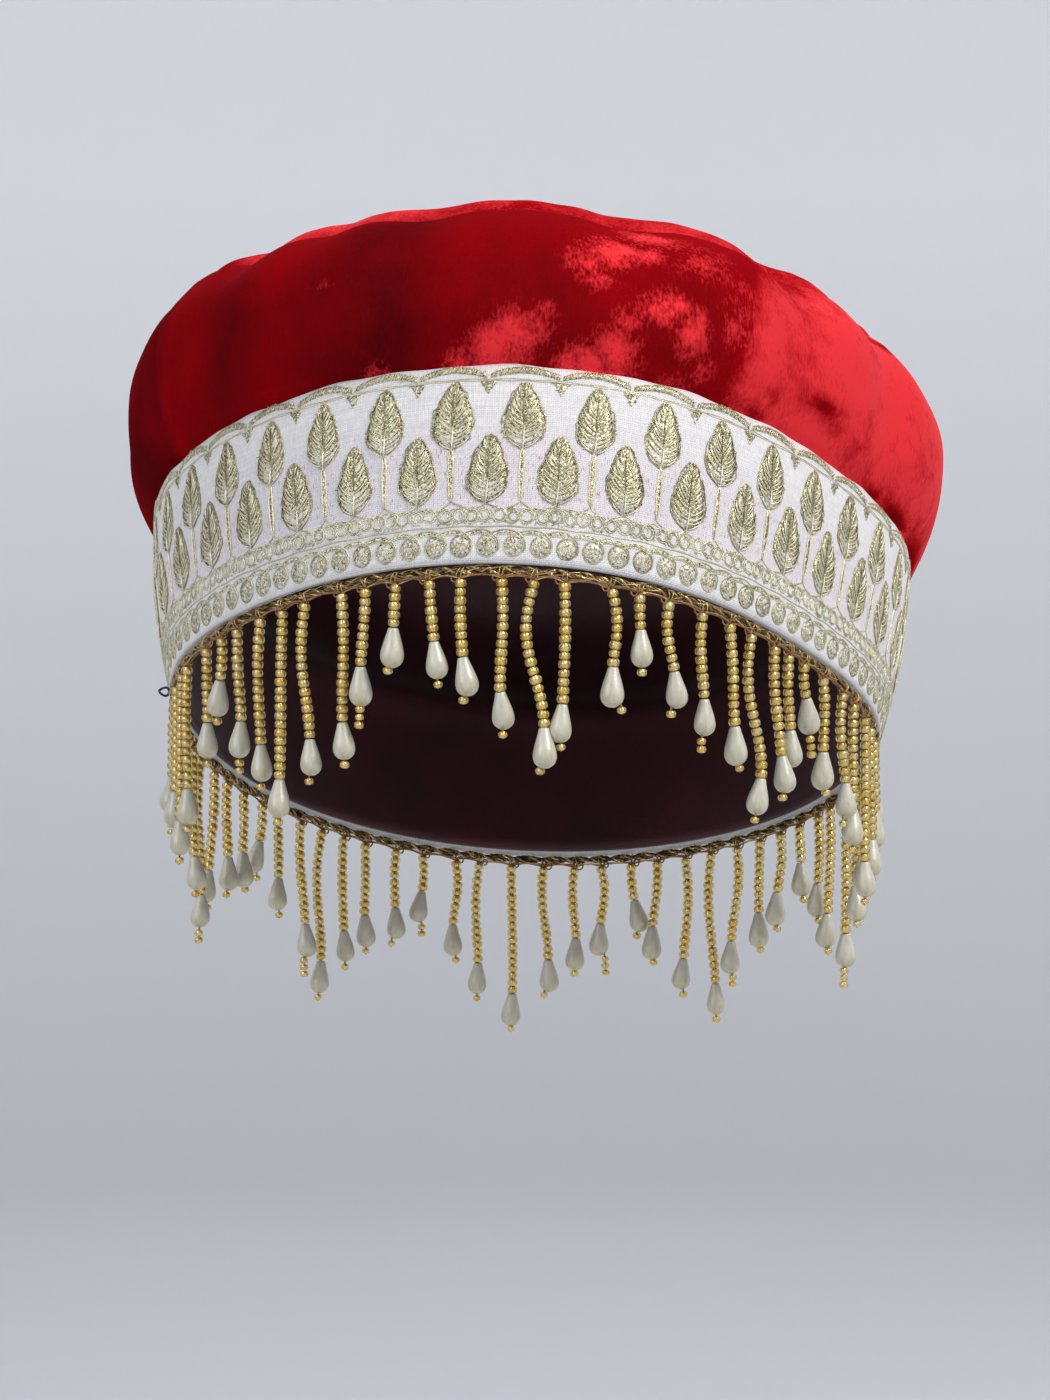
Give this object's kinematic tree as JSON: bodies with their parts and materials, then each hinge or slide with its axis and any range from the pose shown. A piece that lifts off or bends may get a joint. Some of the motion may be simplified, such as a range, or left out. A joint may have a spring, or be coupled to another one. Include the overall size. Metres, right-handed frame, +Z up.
{
  "type": "velvet cap",
  "caption": "Round velvet cap with a puffed crown, an embroidered band and a fringe of beaded strands with pearl drops, as worn.",
  "frame": {"origin": "middle of the head opening, level with the band's lower edge", "axes": "+Z up with the fringe hanging along -Z, -Y out of the cap's front, +X to the right seen from the front; the cap's own axis leans 22 degrees back and 2.7 degrees to +X"},
  "size_m": [0.2061, 0.2299, 0.2092],
  "materials": {
    "velvet": "crushed red velvet with a soft sheen",
    "band_cloth": "fine ivory plain weave with metal-thread embroidery",
    "lining_cloth": "matte dark maroon cloth",
    "gold_beads": "silver-lined honey gold glass seed beads and gold braid",
    "pearl": "satin ivory pearl"
  },
  "bodies": {
    "root": {"crown_side": "velvet", "crown_top": "velvet", "band": "band_cloth", "lining": "lining_cloth", "bead_fringe": "gold_beads"}
  },
  "joints": []
}
